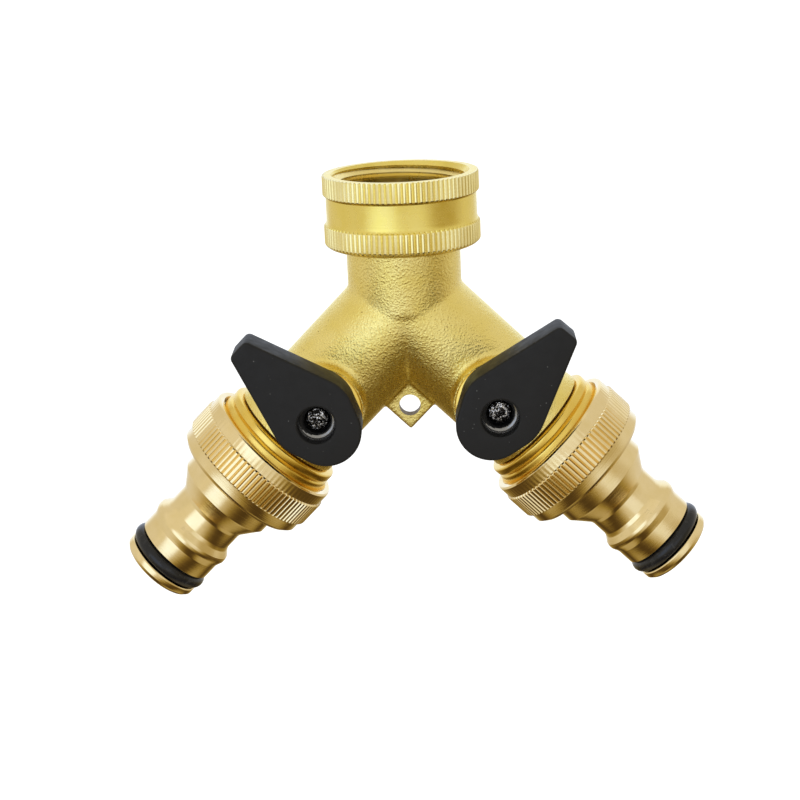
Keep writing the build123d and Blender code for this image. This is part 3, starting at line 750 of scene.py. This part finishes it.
def screw():
    """Pan head with a cross recess."""
    piece = turned("screw", [
        (1.1, 13.6), (1.15, SCREW_SEAT), (2.5, SCREW_SEAT), (2.55, SCREW_SEAT + 0.3),
        (2.4, SCREW_SEAT + 0.8), (2.1, SCREW_TOP - 0.4), (1.5, SCREW_TOP - 0.1),
        (0.8, SCREW_TOP)], 48, ring=False)
    for turn in (0, math.pi / 2):
        bpy.ops.object.select_all(action="DESELECT")
        bpy.ops.mesh.primitive_cube_add(size=1, location=(0, 0, SCREW_TOP * MM),
                                        rotation=(0, 0, turn + 0.5))
        bpy.context.object.scale = (3.1 * MM, 0.75 * MM, 2.0 * MM)
        slot = fresh("slot")
        edit(slot, everything=False)
        pick(slot, lambda place: place.z < SCREW_TOP * MM)
        bpy.ops.transform.resize(value=(0.45, 0.45, 1), center_override=(0, 0, 0))
        leave()
        cut(piece, slot)
    return piece


# ---- assembly -----------------------------------------------------------------------------

def fit(piece, body, slot, *nodes):
    """A finished piece moves with its body and stands for its nodes."""
    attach(piece, body)
    if nodes:
        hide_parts(*nodes)


fit(casting(), "root", "cast_brass", "body_casting")
fit(swivel_nut(), "inlet_nut", "satin_brass", "inlet_nut")
LANDS = pair("boss_face", boss_face(), valve_frame)
SPIGOTS = pair("spigot", spigot(), pipe_frame)
CONNECTORS = pair("connector", connector(), pipe_frame)
RINGS = pair("nose_ring", nose_ring(), pipe_frame)
SCREWS = pair("screw", screw(), valve_frame)
for side in SIDES:
    land, end, nose = LANDS[side], SPIGOTS[side], CONNECTORS[side]
    seal, fastener = RINGS[side], SCREWS[side]
    fit(smooth(dress(land, SPIGOT_BRASS[side])), "root", "satin_brass")
    # painted shade: the undercut, nearer the junction than the collar, gets the dark brown brass
    for face in dress(end, SPIGOT_BRASS[side], PAINTED_SHADE_BRASS).data.polygons:
        along = (face.center - JUNCTION).dot(PIPE_WAY[side])
        if along < COLLAR_S * MM:
            face.material_index = 1
    fit(smooth(end), "root", "satin_brass")
    fit(smooth(dress(nose, CONNECTOR_BRASS[side]), 28), "root", "turned_brass", f"{side}_adapter")
    fit(smooth(dress(seal, SEAL)), "root", "seal_rubber", f"{side}_adapter_o_ring")
    fit(smooth(dress(fastener, SCREW_STEEL)), f"{side}_valve", "screw_steel",
        f"{side}_lever_screw")
    fit(lever(side), f"{side}_valve", "lever_plastic", f"{side}_lever")

CARRIED_OVER = {
    "nut_retaining_ring": BORE_BRASS, "inlet_washer": WASHER, "valve_ball": PLATING,
    "inner_seat": SEAT, "outer_seat": SEAT, "seat_retainer": BORE_BRASS,
    "valve_stem": BORE_BRASS, "stem_washer": SEAT, "stem_o_rings": SEAL,
    "adapter_washer": WASHER,
}
for node_name, node in frame["nodes"].items():
    plain_name = node_name.removeprefix("left_").removeprefix("right_")
    if plain_name in CARRIED_OVER:
        dress(node, CARRIED_OVER[plain_name])

# ---- stage, light and camera --------------------------------------------------------------

FLOOR_GAP = 30


def pale_floor():
    """White floor. It is left out of mirror images, which show the surroundings instead."""
    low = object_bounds()[0]
    bpy.ops.object.select_all(action="DESELECT")
    bpy.ops.mesh.primitive_plane_add(size=8, location=(0, 0, low[2] - FLOOR_GAP * MM))
    floor = fresh("floor")
    finish = Finish("pale_floor", (0.5, 0.53, 0.58), 0.0, 0.8)
    finish.shader.inputs["Emission Color"].default_value = (1, 1, 1, 1)
    finish.shader.inputs["Emission Strength"].default_value = 0.8
    dress(floor, finish.material)
    floor.visible_glossy = False
    floor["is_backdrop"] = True


def soft_box(name, place, aim, size, power):
    """Rectangular lamp that faces its aim."""
    light = bpy.data.lights.new(name, "AREA")
    light.shape = "RECTANGLE"
    light.size, light.size_y = size
    light.energy = power
    lamp = bpy.data.objects.new(name, light)
    bpy.context.scene.collection.objects.link(lamp)
    lamp.location = place
    lamp.rotation_euler = (Vector(aim) - Vector(place)).to_track_quat("-Z", "Y").to_euler()


TENT = 0.74
PANELS = (                         # middle, degrees from it to full and to no effect, change
    ((-0.47, -0.87, 0.1), 16, 30, 0.4),
    ((0.4, -0.9, 0.1), 12, 26, 0.14),
    ((0.93, -0.34, -0.2), 10, 36, -0.26),
    ((0.0, 0.97, 0.2), 20, 45, 0.3),
    ((0.0, 0.0, -1.0), 36, 77, -0.66),
    ((0.0, 0.1, -1.0), 10, 33, 0.4),
)


def surroundings():
    """The walls of a light tent, with brighter and darker panels. Where it is darker it is also
    warmer, as an unlit room is."""
    world = bpy.data.worlds.new("studio")
    world.use_nodes = True
    bpy.context.scene.world = world
    tree = world.node_tree
    background = tree.nodes["Background"]
    way = tree.nodes.new("ShaderNodeTexCoord").outputs["Generated"]

    def spread(value, low, high, to_low, to_high, kind="LINEAR"):
        made = tree.nodes.new("ShaderNodeMapRange")
        made.interpolation_type = kind
        for key, number in zip(("From Min", "From Max", "To Min", "To Max"),
                               (low, high, to_low, to_high)):
            made.inputs[key].default_value = number
        tree.links.new(value, made.inputs["Value"])
        return made.outputs["Result"]

    total = None
    for middle, full, none, change in PANELS:
        nearness = tree.nodes.new("ShaderNodeVectorMath")
        nearness.operation = "DOT_PRODUCT"
        nearness.inputs[1].default_value = Vector(middle).normalized()
        tree.links.new(way, nearness.inputs[0])
        add = tree.nodes.new("ShaderNodeMath")
        add.operation = "ADD"
        add.inputs[0].default_value = TENT
        if total:
            tree.links.new(total, add.inputs[0])
        tree.links.new(spread(nearness.outputs["Value"], math.cos(math.radians(none)),
                              math.cos(math.radians(full)), 0.0, change, "SMOOTHSTEP"),
                       add.inputs[1])
        total = add.outputs["Value"]
    colour = tree.nodes.new("ShaderNodeCombineColor")
    colour.inputs["Red"].default_value = 1.0
    tree.links.new(spread(total, 0.0, 1.2, 0.58, 1.17), colour.inputs["Green"])
    tree.links.new(spread(total, 0.32, 1.2, 0.2, 1.5), colour.inputs["Blue"])
    tree.links.new(colour.outputs["Color"], background.inputs["Color"])
    tree.links.new(total, background.inputs["Strength"])


EYE_FROM_JUNCTION = (8.88, -410.84, 91.22)
EYE_DOWN = 15.149            # degrees below level
EYE_TURN = 1.524
EYE_ROLL = -2.598


def camera():
    """Long lens in front of the object, looking slightly down."""
    lens = bpy.data.cameras.new("camera")
    lens.lens = 93.1
    lens.sensor_width = 36
    eye = bpy.data.objects.new("camera", lens)
    bpy.context.scene.collection.objects.link(eye)
    turn = Matrix.Rotation(math.radians(EYE_TURN), 4, "Z")
    tilt = Matrix.Rotation(math.radians(90 - EYE_DOWN), 4, "X")
    roll = Matrix.Rotation(math.radians(EYE_ROLL), 4, "Z")
    place = JUNCTION + Vector(EYE_FROM_JUNCTION) * MM
    eye.matrix_world = Matrix.Translation(place) @ turn @ tilt @ roll
    bpy.context.scene.camera = eye


pale_floor()
soft_box("key", (-0.35, -0.45, 0.7), (0, 0, -0.03), (1.6, 1.6), 0.5)
surroundings()
camera()
bpy.context.scene.view_settings.view_transform = "Standard"
